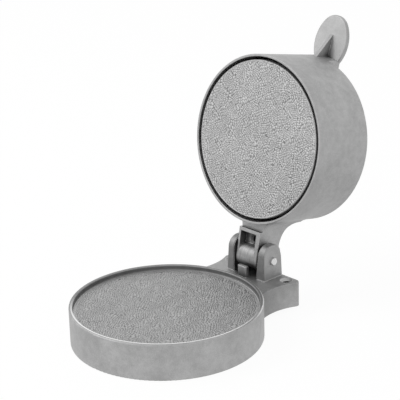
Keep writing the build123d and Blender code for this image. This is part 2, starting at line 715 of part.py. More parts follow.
def make_wing_nut():
    """Wing nut on the outside of the lid: turning it lifts or lowers the plate."""
    z0 = WING_NUT_Z
    z1 = z0 + WING_HUB_H
    nut = cone_z(WING_HUB_R, WING_HUB_TOP_R, z0, z1)
    half = WING_SPAN / 2
    for side in (-1, 1):
        root_low = (side * WING_ROOT_X, z0 + WING_ROOT_LOW)
        root_high = (side * WING_ROOT_X, z0 + WING_ROOT_HIGH)
        low = (side * (half - WING_LOW[0]), z0 + WING_LOW[1])
        high = (side * (half - WING_HIGH[0]), z0 + WING_HIGH[1])
        wing = make_face(
            [
                Line(root_low, low),
                ThreePointArc(low, (side * half, z0 + WING_TIP), high),
                Line(high, root_high),
                Line(root_high, root_low),
            ]
        )
        slab = extrude(Plane.XZ.offset(-WING_T / 2) * wing, amount=WING_T)
        rim = [e for e in slab.edges() if abs(e.center().X) > 2 * WING_ROOT_X]
        nut += fillet(rim, WING_EDGE_R)
    nut -= cylinder_z(STUD_R + STUD_RUNNING_GAP, z0 - CUT_PAST, z0 + WING_HIGH[1])
    return nut


def make_stop_screw():
    """Grub screw in the arm, set back in its hole, with a hexagon socket."""
    z0 = POCKET_FLOOR_Z + STOP_SCREW_SET_BACK
    z1 = ARM_TOP_Z - STOP_SCREW_TAIL_GAP
    screw = cylinder_z(STOP_HOLE_R - STOP_SCREW_GAP, z0, z1, POCKET_X, STOP_HOLE_Y)
    screw = chamfer(screw.edges().filter_by(GeomType.CIRCLE), STOP_SCREW_CHAMFER)
    socket = hexagon_block(STOP_SCREW_HEX_AF, z1 - STOP_SCREW_HEX_D, z1 + CUT_PAST)
    return screw - Pos(POCKET_X, STOP_HOLE_Y, 0) * socket


closed_nodes = {
    "lid_casting": make_lid_casting(),
    "press_plate": make_press_plate(),
    "adjusting_stud": make_stud(),
    "stud_lock_nut": make_lock_nut(),
    "plate_spring": make_spring(),
    "spring_seat_washer": make_washer(
        SEAT_WASHER_R, WASHER_BORE_R, LID_ROOF_Z - SEAT_WASHER_T, LID_ROOF_Z
    ),
    "wing_nut_washer": make_washer(
        WING_WASHER_R, WASHER_BORE_R, BOSS_TOP_Z, BOSS_TOP_Z + WING_WASHER_T
    ),
    "wing_nut": make_wing_nut(),
    "stop_screw": make_stop_screw(),
}
drawn_nodes = {"base_casting": make_base_casting(), "hinge_pin": make_hinge_pin()}
for name, shape in closed_nodes.items():
    drawn_nodes[name] = swung_open(shape)

boxes = [shape.bounding_box() for shape in drawn_nodes.values()]
middle_y = (min(box.min.Y for box in boxes) + max(box.max.Y for box in boxes)) / 2
nodes = {name: Pos(0, -middle_y, 0) * shape for name, shape in drawn_nodes.items()}

for name, shape in nodes.items():
    export_step(shape, f"parts/{name}.step")
    box = shape.bounding_box()
    size = [round(v, 1) for v in (box.min.X, box.min.Y, box.min.Z, box.max.X, box.max.Y, box.max.Z)]
    print(f"{name}: {len(shape.solids())} solid, {shape.volume / 1000:.1f} cm3, box {size}")


def print_point(label, y, z):
    """Prints a point (y, z) of the drawing as it lies in the finished model."""
    print(f"{label} (y, z): {y - middle_y:.3f}, {z:.3f}")


print(f"moved along Y by {-middle_y:.4f}")
print_point("hinge pin", PIN_Y, PIN_Z)
print_point("screw holes", SCREW_HOLE_Y, 0.0)
print_point("lid rim centre when open", *open_point(0, LID_RIM_Z))
print_point("wing nut when open", *open_point(0, WING_NUT_Z))
print_point("spring's seat under the roof when open", *open_point(0, LID_ROOF_Z - SEAT_WASHER_T))
lean = math.radians(LID_OPEN_DEG)
print(f"lid axis when open (y, z): {math.sin(lean):.5f}, {math.cos(lean):.5f}")
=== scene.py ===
"""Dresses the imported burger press: castings, press plate, hinge pin and adjusting gear."""

import json
import logging
import math
from collections.abc import Mapping
from dataclasses import dataclass
from enum import Enum

import bmesh
import bpy
from mathutils import Euler, Matrix, Vector, noise


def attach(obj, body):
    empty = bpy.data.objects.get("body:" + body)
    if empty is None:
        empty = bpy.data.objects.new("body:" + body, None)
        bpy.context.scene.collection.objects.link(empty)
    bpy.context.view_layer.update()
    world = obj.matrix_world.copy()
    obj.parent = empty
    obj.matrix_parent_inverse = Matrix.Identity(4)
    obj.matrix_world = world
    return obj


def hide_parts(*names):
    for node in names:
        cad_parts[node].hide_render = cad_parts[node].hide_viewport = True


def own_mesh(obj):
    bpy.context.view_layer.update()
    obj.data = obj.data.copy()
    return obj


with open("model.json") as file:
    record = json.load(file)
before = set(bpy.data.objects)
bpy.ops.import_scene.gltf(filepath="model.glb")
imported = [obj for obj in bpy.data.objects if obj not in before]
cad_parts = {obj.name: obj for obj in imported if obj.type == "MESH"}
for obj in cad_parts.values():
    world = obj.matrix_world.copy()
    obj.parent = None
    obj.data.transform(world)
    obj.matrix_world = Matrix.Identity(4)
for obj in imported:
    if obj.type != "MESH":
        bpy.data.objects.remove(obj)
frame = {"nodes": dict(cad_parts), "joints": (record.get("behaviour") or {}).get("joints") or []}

log = logging.getLogger("burger_press")

Colour = tuple[float, float, float]
Span = tuple[float, float]
Socket = bpy.types.NodeSocket

MM = 0.001
JOINTS = {joint["name"]: joint for joint in frame["joints"]}
PIN_AXIS = Vector(JOINTS["lid_hinge"]["pos_m"])
LID_TURN = Matrix.Rotation(-math.radians(JOINTS["lid_hinge"]["range_deg"][1]), 4, "X")
PIN_BEHIND_TRAY_MM = 84.8
CLOSED_RIM_BELOW_PIN_MM = 13.35
STOP_HOLE_FROM_PIN_MM = (-0.9, -10.9, -1.0)


def on_open_lid(closed_mm: tuple[float, float, float]) -> Vector:
    """Opens the lid, and says where one of its points goes.

    Args:
        closed_mm: the point on the closed lid, measured from the pin.

    Returns:
        Its place in the row frame, with the lid open as in the photograph.
    """
    return PIN_AXIS + LID_TURN @ (Vector(closed_mm) * MM)


TRAY_AXIS = Vector((0.0, PIN_AXIS.y - PIN_BEHIND_TRAY_MM * MM, 0.0))
LID_RIM_CENTRE = on_open_lid((0.0, -PIN_BEHIND_TRAY_MM, -CLOSED_RIM_BELOW_PIN_MM))
STOP_HOLE = on_open_lid(STOP_HOLE_FROM_PIN_MM)
TRAY_MATRIX = Matrix.Translation(TRAY_AXIS)
LID_MATRIX = Matrix.Translation(LID_RIM_CENTRE) @ LID_TURN


def grey(level: float) -> Colour:
    """A colour with no tint."""
    return (level, level, level)


# Near black, laid on as painted shade in recesses, grooves, gaps and on faces turned from the
# light.
PAINTED_SHADE = grey(0.035)
# Light grey: on edges partly wear and partly painted highlight, elsewhere painted highlight lines.
WEAR_AND_HIGHLIGHT = grey(0.64)
# Near white, for painted highlights on the tray's lip.
PAINTED_HIGHLIGHT = grey(0.88)
WHITE = (1.0, 1.0, 1.0, 1.0)
BARE_METAL = 1.0
NOISE_MIDDLE = 0.5
RAY_SAMPLES = 8
# How well the eased normal matches the plain one where no edge shows, and on a full edge.
EDGE_MATCH = (0.995, 0.86)
VALLEY = "valley"
# Left unseeded, the offsets of noise_vector come from the clock and differ in each run.
NOISE_SEED = 2


class Grain(Enum):
    """How steel was left by its maker, with the size of its mottle in millimetres."""

    TURNED = 0.6
    PLATED = 2.5


class RimPlace(Enum):
    """Where on the tray's rim a mark lies."""

    WALL = "on the inner wall and its foot, below the lip"
    # The back of the lip gets painted shade and its front a painted highlight.
    LIP_SHADED = "on the back of the lip, where shade is painted"
    LIP_HINGE = "on the lip, where the lug joins it"
    LIP_HIGHLIT = "on the front of the lip, where a highlight is painted"


class Field:
    """One number in a material. Arithmetic on it adds Math nodes."""

    def __init__(self, bench: "Bench", socket: Socket) -> None:
        """Wraps a socket.

        Args:
            bench: the material being built.
            socket: the output that carries the number.
        """
        self.bench = bench
        self.socket = socket

    def _maths(self, operation: str, *terms: "Field | float") -> "Field":
        """Adds one Math node.

        Args:
            operation: the node's operation.
            terms: its one or two numbers.

        Returns:
            Its result.
        """
        settings = {"operation": operation}
        node = self.bench.node("ShaderNodeMath", settings, dict(enumerate(terms)))
        return Field(self.bench, node.outputs[0])

    def __add__(self, other: "Field | float") -> "Field":
        """self + other."""
        return self._maths("ADD", self, other)

    def __radd__(self, other: float) -> "Field":
        """other + self."""
        return self._maths("ADD", other, self)

    def __sub__(self, other: "Field | float") -> "Field":
        """self - other."""
        return self._maths("SUBTRACT", self, other)

    def __rsub__(self, other: float) -> "Field":
        """other - self."""
        return self._maths("SUBTRACT", other, self)

    def __mul__(self, other: "Field | float") -> "Field":
        """self * other."""
        return self._maths("MULTIPLY", self, other)

    def __rmul__(self, other: float) -> "Field":
        """other * self."""
        return self._maths("MULTIPLY", other, self)

    def __pow__(self, other: "Field | float") -> "Field":
        """self to the power of other."""
        return self._maths("POWER", self, other)

    def size(self) -> "Field":
        """Its absolute value."""
        return self._maths("ABSOLUTE", self)

    def rise(self, low: float, high: float) -> "Field":
        """Goes smoothly from 0 where this is low to 1 where it is high.

        Args:
            low: the value that gives 0.
            high: the value that gives 1. It may be under low.

        Returns:
            The eased number, held between 0 and 1.
        """
        flip = high < low
        settings = {"interpolation_type": "SMOOTHSTEP", "clamp": True}
        sockets = {"Value": self, "From Min": min(low, high), "From Max": max(low, high)}
        node = self.bench.node("ShaderNodeMapRange", settings, sockets)
        eased = Field(self.bench, node.outputs["Result"])
        return 1.0 - eased if flip else eased

    def fade(self, span_mm: Span) -> "Field":
        """Goes smoothly from 0 at the first length of a span to 1 at the second."""
        none, full = span_mm
        return self.rise(none * MM, full * MM)

    def band(self, span_mm: Span, soft_mm: float) -> "Field":
        """Picks out what lies between two lengths.

        Args:
            span_mm: the two lengths.
            soft_mm: how far each border reaches to each side.

        Returns:
            1 between them and 0 elsewhere.
        """
        low, high = span_mm
        begun = self.fade((low - soft_mm, low + soft_mm))
        return begun * self.fade((high + soft_mm, high - soft_mm))


def distance(first: Field, second: Field) -> Field:
    """How far off a point is that lies so far along each of two axes."""
    return (first * first + second * second) ** 0.5


class Bench:
    """A material or world on the bench: makes its nodes and joins them."""

    def __init__(self, owner: bpy.types.Material | bpy.types.World) -> None:
        """Starts with an empty set of nodes.

        Args:
            owner: the new material or world.
        """
        self.owner = owner
        owner.use_nodes = True
        self.tree = owner.node_tree
        self.tree.nodes.clear()

    @classmethod
    def for_material(cls, name: str) -> "Bench":
        """Starts a material of that name."""
        return cls(bpy.data.materials.new(name))

    def node(
        self,
        kind: str,
        settings: Mapping[str, object] | None = None,
        sockets: Mapping[str | int, object] | None = None,
    ) -> bpy.types.Node:
        """Adds one node.

        Args:
            kind: the node's type.
            settings: its properties, set first.
            sockets: a value, a Field or a socket for each input.

        Returns:
            The new node.
        """
        made = self.tree.nodes.new(kind)
        for key, value in (settings or {}).items():
            setattr(made, key, value)
        for key, value in (sockets or {}).items():
            if isinstance(value, Field):
                value = value.socket
            if isinstance(value, Socket):
                self.tree.links.new(value, made.inputs[key])
            else:
                made.inputs[key].default_value = value
        return made

    def place(self, centre: Vector | None = None, turn: Euler | None = None) -> Socket:
        """Object coordinates, seen from a centre and turned with a piece.

        Args:
            centre: the pattern's centre in the row frame, or None for its origin.
            turn: how the piece is turned there, or None where it isn't.

        Returns:
            The place of each point, in metres.
        """
        sockets = {
            "Vector": self.node("ShaderNodeTexCoord").outputs["Object"],
            "Location": tuple(centre or Vector()),
            "Rotation": tuple(turn or Euler()),
        }
        return self.node("ShaderNodeMapping", {"vector_type": "TEXTURE"}, sockets).outputs[0]

    def parts(self, vector: Socket) -> tuple[Field, Field, Field]:
        """The three numbers of a vector."""
        split = self.node("ShaderNodeSeparateXYZ", None, {0: vector})
        return tuple(Field(self, out) for out in split.outputs)

    def noise(self, where: Socket, size_mm: float, detail: float, rough: float = 0.5) -> Field:
        """Soft noise of a given size.

        Args:
            where: the place of each point.
            size_mm: how large its blotches are.
            detail: how many finer layers it has.
            rough: how strong the finer layers are.

        Returns:
            A number round the noise's middle.
        """
        sockets = {
            "Vector": where,
            "Scale": 1.0 / (size_mm * MM),
            "Detail": detail,
            "Roughness": rough,
        }
        node = self.node("ShaderNodeTexNoise", {"noise_dimensions": "3D"}, sockets)
        return Field(self, node.outputs["Fac"])

    def stretched(self, where: Socket, scale: tuple[float, float, float]) -> Socket:
        """The place of each point, scaled on each axis."""
        sockets = {"Vector": where, "Scale": scale}
        return self.node("ShaderNodeMapping", {"vector_type": "POINT"}, sockets).outputs[0]

    def edges(self, radius_mm: float) -> tuple[Socket, Field]:
        """Eases sharp edges and says where they are.

        Args:
            radius_mm: how far an edge reaches.

        Returns:
            The eased normal, and 1 on an edge and 0 away from it.
        """
        settings = {"samples": RAY_SAMPLES}
        eased = self.node("ShaderNodeBevel", settings, {"Radius": radius_mm * MM}).outputs[0]
        plain = self.node("ShaderNodeNewGeometry").outputs["Normal"]
        settings = {"operation": "DOT_PRODUCT"}
        match = self.node("ShaderNodeVectorMath", settings, {0: eased, 1: plain})
        return eased, Field(self, match.outputs["Value"]).rise(*EDGE_MATCH)

    def recess(self, reach_mm: float) -> Field:
        """Tells tight corners from open faces.

        Args:
            reach_mm: how near a wall counts.

        Returns:
            0 in a tight corner and 1 in the open.
        """
        settings = {"samples": RAY_SAMPLES, "only_local": True}
        node = self.node("ShaderNodeAmbientOcclusion", settings, {"Distance": reach_mm * MM})
        return Field(self, node.outputs["AO"])

    def layer(self, name: str) -> Field:
        """A number stored on the piece's own mesh."""
        settings = {"attribute_type": "GEOMETRY", "attribute_name": name}
        return Field(self, self.node("ShaderNodeAttribute", settings).outputs["Fac"])

    def blend(self, share: Field, under: Colour | Socket, over: Colour) -> Socket:
        """Lays one colour over another.

        Args:
            share: how much of it covers, from 0 to 1.
            under: the colour below, plain or varying.
            over: the colour laid on.

        Returns:
            The mixed colour.
        """
        below = under if isinstance(under, Socket) else (*under, 1.0)
        settings = {"data_type": "RGBA", "blend_type": "MIX"}
        mixed = self.node("ShaderNodeMix", settings, {0: share, 6: below, 7: (*over, 1.0)})
        return mixed.outputs[2]

    def bump(self, height: Field, depth_mm: float, under: Socket | None = None) -> Socket:
        """A normal raised by a height.

        Args:
            height: 0 to 1.
            depth_mm: how much 1 stands above 0.
            under: a normal that this one is laid on.

        Returns:
            The new normal.
        """
        sockets = {"Height": height, "Distance": depth_mm * MM}
        if under is not None:
            sockets["Normal"] = under
        return self.node("ShaderNodeBump", None, sockets).outputs[0]

    def finish(self, colour: Socket, roughness: Field, normal: Socket) -> bpy.types.Material:
        """Ends the material in a surface of bare metal.

        Args:
            colour: the base colour.
            roughness: the roughness.
            normal: the normal.

        Returns:
            The finished material.
        """
        sockets = {
            "Base Color": colour,
            "Roughness": roughness,
            "Metallic": BARE_METAL,
            "Normal": normal,
        }
        surface = self.node("ShaderNodeBsdfPrincipled", None, sockets)
        self.node("ShaderNodeOutputMaterial", None, {"Surface": surface.outputs[0]})
        return self.owner


@dataclass(frozen=True)
class FromPin:
    """The place of each point of a material, seen from the hinge pin."""

    where: Socket
    x: Field
    y: Field
    z: Field

    @classmethod
    def on(cls, bench: Bench, turn: Euler | None = None) -> "FromPin":
        """Looks from the pin.

        Args:
            bench: the material being built.
            turn: how the piece is turned, or None to keep the row frame's axes.

        Returns:
            The place and its three numbers, in metres.
        """
        where = bench.place(PIN_AXIS, turn)
        return cls(where, *bench.parts(where))

    def across(self) -> Field:
        """How far it is from the middle of the hinge, to either side."""
        return self.x.size()

    def reach(self) -> Field:
        """How far it is from the pin's axis."""
        return distance(self.y, self.z)


@dataclass(frozen=True)
class Pebbles:
    """The pebbled grain cast into the two faces that touch the patty.

    Each kind of noise has its strength and its size. The seed says which slice of the noise
    the face is cut from, and the layers where the strength of each wave is read.
    """

    radius_mm: float
    spacing_mm: float = 1.85
    depth_mm: float = 0.3
    turn_deg: float = 4.0
    push_mm: float = 0.75
    push_size_mm: float = 1.9
    drift_mm: float = 2.8
    drift_size_mm: float = 8.0
    uneven: float = 0.42
    uneven_size_mm: float = 3.4
    speck: float = 0.2
    speck_size_mm: float = 0.9
    share: float = 0.2
    steep: float = 1.5
    fade_mm: float = 0.3
    seed: float = 0.0
    layers: tuple[float, ...] = (7.0, 12.0, 17.0)

    def valley(self, x_mm: float, y_mm: float) -> float:
        """How far down a point lies.

        Three waves that cross at 60 degrees make evenly spaced pebbles. Noise pushes them
        out of line and lets one wave win here and there, so that pebbles run together.

        Args:
            x_mm: its place across the face.
            y_mm: its place along the face.

        Returns:
            0 on a pebble's top and 1 in the bottom of a groove.
        """
        reach = math.hypot(x_mm, y_mm)
        if reach > self.radius_mm:
            return 0.0
        spot = Vector((x_mm, y_mm, self.seed))
        push = noise.noise_vector(spot / self.push_size_mm) * self.push_mm
        push += noise.noise_vector(spot / self.drift_size_mm) * self.drift_mm
        at = Vector((x_mm + push.x, y_mm + push.y))
        beat = 4.0 * math.pi / (math.sqrt(3.0) * self.spacing_mm)
        waves = len(self.layers)
        height = 0.0
        for number, layer in enumerate(self.layers):
            turn = math.pi / waves * number + math.radians(self.turn_deg)
            own = noise.noise(spot / self.uneven_size_mm + Vector((0.0, 0.0, layer)))
            along = at.x * math.cos(turn) + at.y * math.sin(turn)
            height += (1.0 + 2.0 * self.uneven * own) * math.cos(beat * along) / waves
        height += self.speck * noise.noise(spot / self.speck_size_mm)
        down = max(0.0, min(1.0, self.share - height * self.steep))
        return down * min((self.radius_mm - reach) / self.fade_mm, 1.0)


@dataclass(frozen=True)
class CastFinish:
    """Tumbled aluminium as it leaves the foundry, mottled by blotches, patches and grain; painted
    shade darkens its recesses and pebble grooves, and its edges are lightened by wear and a
    painted highlight.
    """

    name: str
    dark: Colour = grey(0.336)
    light: Colour = grey(0.516)
    blotch_mm: float = 22.0
    blotch_share: float = 0.72
    patch_mm: float = 4.5
    patch_share: float = 0.75
    patch_rough: float = 0.16
    grain_mm: float = 0.55
    grain_share: float = 1.2
    grain_rough: float = 0.2
    grain_depth_mm: float = 0.06
    roughness: float = 0.52
    edge_mm: float = 0.5
    edge_wear_and_highlight: float = 0.6
    crease_mm: float = 9.0
    crease_open: Span = (0.66, 0.24)
    crease_shade_share: float = 0.92
    face_mottle: float = 0.4
    face_grain_depth_mm: float = 0.036
    crown: float = 1.3
    groove: float = 0.62

    def base(
        self, bench: Bench, mottle: float = 1.0, lift: float = 1.0
    ) -> tuple[Socket, Field, Field]:
        """Lays down the mottled metal.

        Args:
            bench: the material being built.
            mottle: how much of the blotches and patches shows.
            lift: how much lighter it is than the plain casting.

        Returns:
            Its colour, its roughness and its grain.
        """
        where = bench.place()
        blotch = bench.noise(where, self.blotch_mm, detail=3.0) - NOISE_MIDDLE
        patch = bench.noise(where, self.patch_mm, detail=3.0) - NOISE_MIDDLE
        grain = bench.noise(where, self.grain_mm, detail=2.0, rough=0.6)
        fine = grain - NOISE_MIDDLE
        large = (blotch * self.blotch_share + patch * self.patch_share) * mottle
        share = large + fine * self.grain_share + NOISE_MIDDLE
        rough = patch * self.patch_rough + fine * self.grain_rough + self.roughness
        low, high = (tuple(part * lift for part in end) for end in (self.dark, self.light))
        return bench.blend(share.rise(0.0, 1.0), low, high), rough, grain

    def material(self) -> bpy.types.Material:
        """Builds the material of the casting's plain surfaces.

        Returns:
            The material.
        """
        bench = Bench.for_material(self.name)
        colour, rough, grain = self.base(bench)
        eased, edge = bench.edges(self.edge_mm)
        colour = self.marks(bench, colour)
        # Edges lightened: partly worn edges, partly a painted highlight where they would catch the
        # light.
        colour = bench.blend(edge * self.edge_wear_and_highlight, colour, WEAR_AND_HIGHLIGHT)
        # Painted shade: tight corners and recesses are darkened towards near black.
        shut = bench.recess(self.crease_mm).rise(*self.crease_open)
        colour = bench.blend(shut * self.crease_shade_share, colour, PAINTED_SHADE)
        return bench.finish(colour, rough, bench.bump(grain, self.grain_depth_mm, eased))

    def marks(self, bench: Bench, colour: Socket) -> Socket:
        """Adds a finish's own marks, painted shade and painted highlights; none on a plain
        casting.
        """
        return colour

    def pebbled(self) -> bpy.types.Material:
        """Builds the material of a pebbled face, with painted shade in its grooves.

        Returns:
            The material.
        """
        bench = Bench.for_material(self.name + "_pebbled")
        colour, rough, grain = self.base(bench, self.face_mottle, self.crown)
        # Painted shade in the grooves between pebbles, darker where a groove is deeper.
        colour = bench.blend(bench.layer(VALLEY) * self.groove, colour, PAINTED_SHADE)
        return bench.finish(colour, rough, bench.bump(grain, self.face_grain_depth_mm))


@dataclass(frozen=True)
class RimMark:
    """One ring of the tray's rim, with painted shade or a painted highlight laid on it."""

    name: str
    between_mm: Span
    place: RimPlace
    share: float
    colour: Colour


@dataclass(frozen=True)
class BaseFinish(CastFinish):
    """The base's casting: painted shade between its ears, and a painted highlight on the front of
    its lip.

    A span holds the length at which a mark has faded out and the one at which it is full.
    For a ring, and for the wall, it holds the two borders. Lengths are measured from the pin,
    those of a bench screw's ring from the screw's axis, and those of the rim and the lug from
    the tray's axis and the table.
    """

    behind_tab_mm: Span = (-9.1, -8.9)
    beside_tab_mm: Span = (4.3, 4.5)
    hinge_shade_mm: Span = (26.0, 12.0)
    front_facing: Span = (0.1, -0.8)
    front_shade: float = 0.3
    side_shade: float = 0.08
    slot_shade_mm: Span = (17.5, 12.0)
    slot_mm: Span = (12.2, 11.4)
    slot_shade_share: float = 0.7
    seat_place_mm: tuple[float, float] = (28.0, 4.5)
    seat_ring_mm: Span = (2.7, 4.9)
    seat_highlight_share: float = 0.55
    foot_line_low_mm: Span = (-13.35, -13.25)
    foot_line_high_mm: Span = (-12.5, -12.7)
    foot_line_beside_mm: Span = (12.2, 12.6)
    foot_line_behind_mm: Span = (-16.5, -16.0)
    foot_line_share: float = 0.9
    ring_soft_mm: float = 0.08
    lug_near_mm: Span = (67.05, 67.3)
    lug_far_mm: Span = (96.0, 67.3)
    lug_top_mm: Span = (22.7, 22.4)
    lug_shade: float = 0.34
    wall_mm: Span = (22.5, 25.7)
    wall_soft_mm: float = 0.1
    lip_foot_mm: Span = (25.6, 25.8)
    highlight_way: tuple[float, float] = (0.6, -0.8)
    highlight_reach_mm: Span = (-8.0, 42.0)
    hinge_side_mm: Span = (15.0, 40.0)
    # Painted shade on the inner wall and on the back of the lip; painted highlights at the foot of
    # the wall, where the lug joins the lip, and on the front of the lip.
    rim_marks: tuple[RimMark, ...] = (
        RimMark("dull inner wall", (63.9, 64.6), RimPlace.WALL, 0.62, PAINTED_SHADE),
        RimMark("dull lip", (64.35, 66.6), RimPlace.LIP_SHADED, 0.34, PAINTED_SHADE),
        RimMark("bright foot of the wall", (63.3, 63.9), RimPlace.WALL, 0.6, WEAR_AND_HIGHLIGHT),
        RimMark("bright joint with the lug", (66.2, 67.1), RimPlace.LIP_HINGE, 0.85, PAINTED_HIGHLIGHT),
        RimMark("highlighted lip", (64.3, 65.8), RimPlace.LIP_HIGHLIT, 1.0, PAINTED_HIGHLIGHT),
    )

    def marks(self, bench: Bench, colour: Socket) -> Socket:
        """Adds painted shade round the hinge, painted highlight lines, and the painted shade and
        highlights of the lug and the rim.
        """
        colour = self._painted_highlights(bench, self._hinge_shade(bench, colour))
        return self._rim(bench, colour)

    def _hinge_shade(self, bench: Bench, colour: Socket) -> Socket:
        """Paints shade into the slot round the knuckle and onto the ears' fronts, but not onto the
        tab.

        Args:
            bench: the material being built.
            colour: the colour so far.

        Returns:
            The colour with the painted shade on it.
        """
        pin = FromPin.on(bench)
        across, reach = pin.across(), pin.reach()
        on_tab = (1.0 - pin.y.fade(self.behind_tab_mm)) * (1.0 - across.fade(self.beside_tab_mm))
        off_tab = 1.0 - on_tab
        # Painted shade on faces turned towards the tray, and more lightly on every face near the
        # pin, but not on the tab.
        facing = bench.parts(bench.node("ShaderNodeTexCoord").outputs["Normal"])[1]
        shaded = facing.rise(*self.front_facing) * self.front_shade + self.side_shade
        colour = bench.blend(reach.fade(self.hinge_shade_mm) * shaded * off_tab, colour, PAINTED_SHADE)
        # Painted shade in the slot between the ears, round the knuckle.
        slot_shade = reach.fade(self.slot_shade_mm) * across.fade(self.slot_mm) * off_tab
        return bench.blend(slot_shade * self.slot_shade_share, colour, PAINTED_SHADE)

    def _painted_highlights(self, bench: Bench, colour: Socket) -> Socket:
        """Paints a highlight along the foot of each ear and round the seat of each bench screw.

        Args:
            bench: the material being built.
            colour: the colour so far.

        Returns:
            The colour with the bright lines on it.
        """
        pin = FromPin.on(bench)
        across = pin.across()
        out, back = self.seat_place_mm
        seat = distance(across - out * MM, pin.y - back * MM)
        # Painted highlight round each bench screw's countersunk seat.
        ring = seat.band(self.seat_ring_mm, self.ring_soft_mm)
        colour = bench.blend(ring * self.seat_highlight_share, colour, WEAR_AND_HIGHLIGHT)
        # Painted highlight along the foot of each ear.
        line = pin.z.fade(self.foot_line_low_mm) * pin.z.fade(self.foot_line_high_mm)
        line = line * across.fade(self.foot_line_beside_mm) * pin.y.fade(self.foot_line_behind_mm)
        return bench.blend(line * self.foot_line_share, colour, WEAR_AND_HIGHLIGHT)

    def _rim(self, bench: Bench, colour: Socket) -> Socket:
        """Paints shade on the lug's sides, darkest next to the tray, and paints shade and
        highlights on the rim.

        Args:
            bench: the material being built.
            colour: the colour so far.

        Returns:
            The colour with the rim's marks on it.
        """
        x, y, z = bench.parts(bench.place(TRAY_AXIS))
        reach = distance(x, y)
        # Painted shade on the lug's sides, darkest where they meet the tray and fading towards the
        # lug's far end.
        lug = reach.fade(self.lug_near_mm) * reach.fade(self.lug_far_mm)
        colour = bench.blend(lug * z.fade(self.lug_top_mm) * self.lug_shade, colour, PAINTED_SHADE)
        # Painted highlight on the half of the lip that faces this way, painted shade on the other
        # half.
        way_x, way_y = self.highlight_way
        front_lit = (x * way_x + y * way_y).fade(self.highlight_reach_mm)
        lip = z.fade(self.lip_foot_mm)
        places = {
            RimPlace.WALL: z.band(self.wall_mm, self.wall_soft_mm),
            RimPlace.LIP_SHADED: lip * (1.0 - front_lit),
            RimPlace.LIP_HINGE: lip * y.fade(self.hinge_side_mm),
            RimPlace.LIP_HIGHLIT: lip * front_lit,
        }
        for mark in self.rim_marks:
            ring = reach.band(mark.between_mm, self.ring_soft_mm)
            colour = bench.blend(ring * places[mark.place] * mark.share, colour, mark.colour)
            log.info("marked the %s", mark.name)
        return colour


@dataclass(frozen=True)
class ArmFinish(CastFinish):
    """The lid's casting, with grinding marks round its knuckle, and painted shade round the
    knuckle, in the pocket and in the stop hole.

    Lengths are measured from the pin, and those of the pocket in the lid's own directions.
    The stop hole's are measured from its axis.
    """

    scratch: Colour = grey(0.17)
    line_mm: float = 0.55
    line_stretch: tuple[float, float, float] = (1.0, 0.05, 0.05)
    line_noise: Span = (0.42, 0.72)
    line_reach_mm: Span = (8.5, 8.0)
    line_across_mm: Span = (8.3, 8.0)
    line_share: float = 0.62
    knuckle_shade_mm: Span = (15.0, 11.0)
    knuckle_shade_right_mm: Span = (-5.0, 8.0)
    knuckle_shade_low_mm: Span = (0.5, -7.0)
    knuckle_shade_low_share: float = 0.3
    knuckle_shade_corner_share: float = 0.45
    knuckle_shade_right_share: float = 0.12
    side_mm: Span = (9.7, 9.9)
    side_reach_mm: Span = (12.0, 9.5)
    side_shade_share: float = 0.85
    pocket_centre_mm: float = STOP_HOLE_FROM_PIN_MM[0]
    pocket_half_mm: Span = (7.9, 7.8)
    pocket_mouth_mm: Span = (-7.2, -5.8)
    pocket_end_mm: Span = (0.0, -0.6)
    pocket_knuckle_mm: Span = (7.6, 8.2)
    pocket_front_mm: Span = (-16.8, -16.6)
    pocket_shade_share: float = 0.5
    hole_mm: Span = (3.3, 3.0)
    hole_shade_share: float = 0.85

    def marks(self, bench: Bench, colour: Socket) -> Socket:
        """Adds lines round the knuckle, and painted shade under and beside it, in the pocket and
        in the stop hole.

        Args:
            bench: the material being built.
            colour: the colour so far.

        Returns:
            The colour with the marks on it.
        """
        pin = FromPin.on(bench)
        across, reach = pin.across(), pin.reach()
        streaked = bench.stretched(pin.where, self.line_stretch)
        lines = bench.noise(streaked, self.line_mm, detail=3.0, rough=0.7).rise(*self.line_noise)
        lines = lines * reach.fade(self.line_reach_mm) * across.fade(self.line_across_mm)
        colour = bench.blend(lines * self.line_share, colour, self.scratch)
        # Painted shade under the knuckle, heavier on its right and in its lower right corner.
        right = pin.x.fade(self.knuckle_shade_right_mm)
        low_share = right * self.knuckle_shade_corner_share + self.knuckle_shade_low_share
        knuckle_shade = pin.z.fade(self.knuckle_shade_low_mm) * low_share + right * self.knuckle_shade_right_share
        knuckle_shade = knuckle_shade * reach.fade(self.knuckle_shade_mm)
        colour = bench.blend(knuckle_shade, colour, PAINTED_SHADE)
        # Painted shade on the arm's sides near the pin, in the gaps next to the ears.
        side = across.fade(self.side_mm) * reach.fade(self.side_reach_mm)
        colour = bench.blend(side * self.side_shade_share, colour, PAINTED_SHADE)
        # Painted shade in the pocket and in the stop hole.
        colour = bench.blend(self._pocket(bench) * self.pocket_shade_share, colour, PAINTED_SHADE)
        return bench.blend(self._stop_hole(bench) * self.hole_shade_share, colour, PAINTED_SHADE)

    def _pocket(self, bench: Bench) -> Field:
        """Finds the arm's pocket.

        Args:
            bench: the material being built.

        Returns:
            1 inside the pocket, clear of the knuckle, and 0 elsewhere.
        """
        pin = FromPin.on(bench, LID_TURN.to_euler())
        across = (pin.x - self.pocket_centre_mm * MM).size().fade(self.pocket_half_mm)
        inside = pin.z.fade(self.pocket_mouth_mm) * pin.z.fade(self.pocket_end_mm)
        clear = pin.reach().fade(self.pocket_knuckle_mm)
        return across * inside * clear * pin.y.fade(self.pocket_front_mm)

    def _stop_hole(self, bench: Bench) -> Field:
        """1 in the stop screw's hole and 0 elsewhere."""
        x, y, _ = bench.parts(bench.place(STOP_HOLE, LID_TURN.to_euler()))
        return distance(x, y).fade(self.hole_mm)


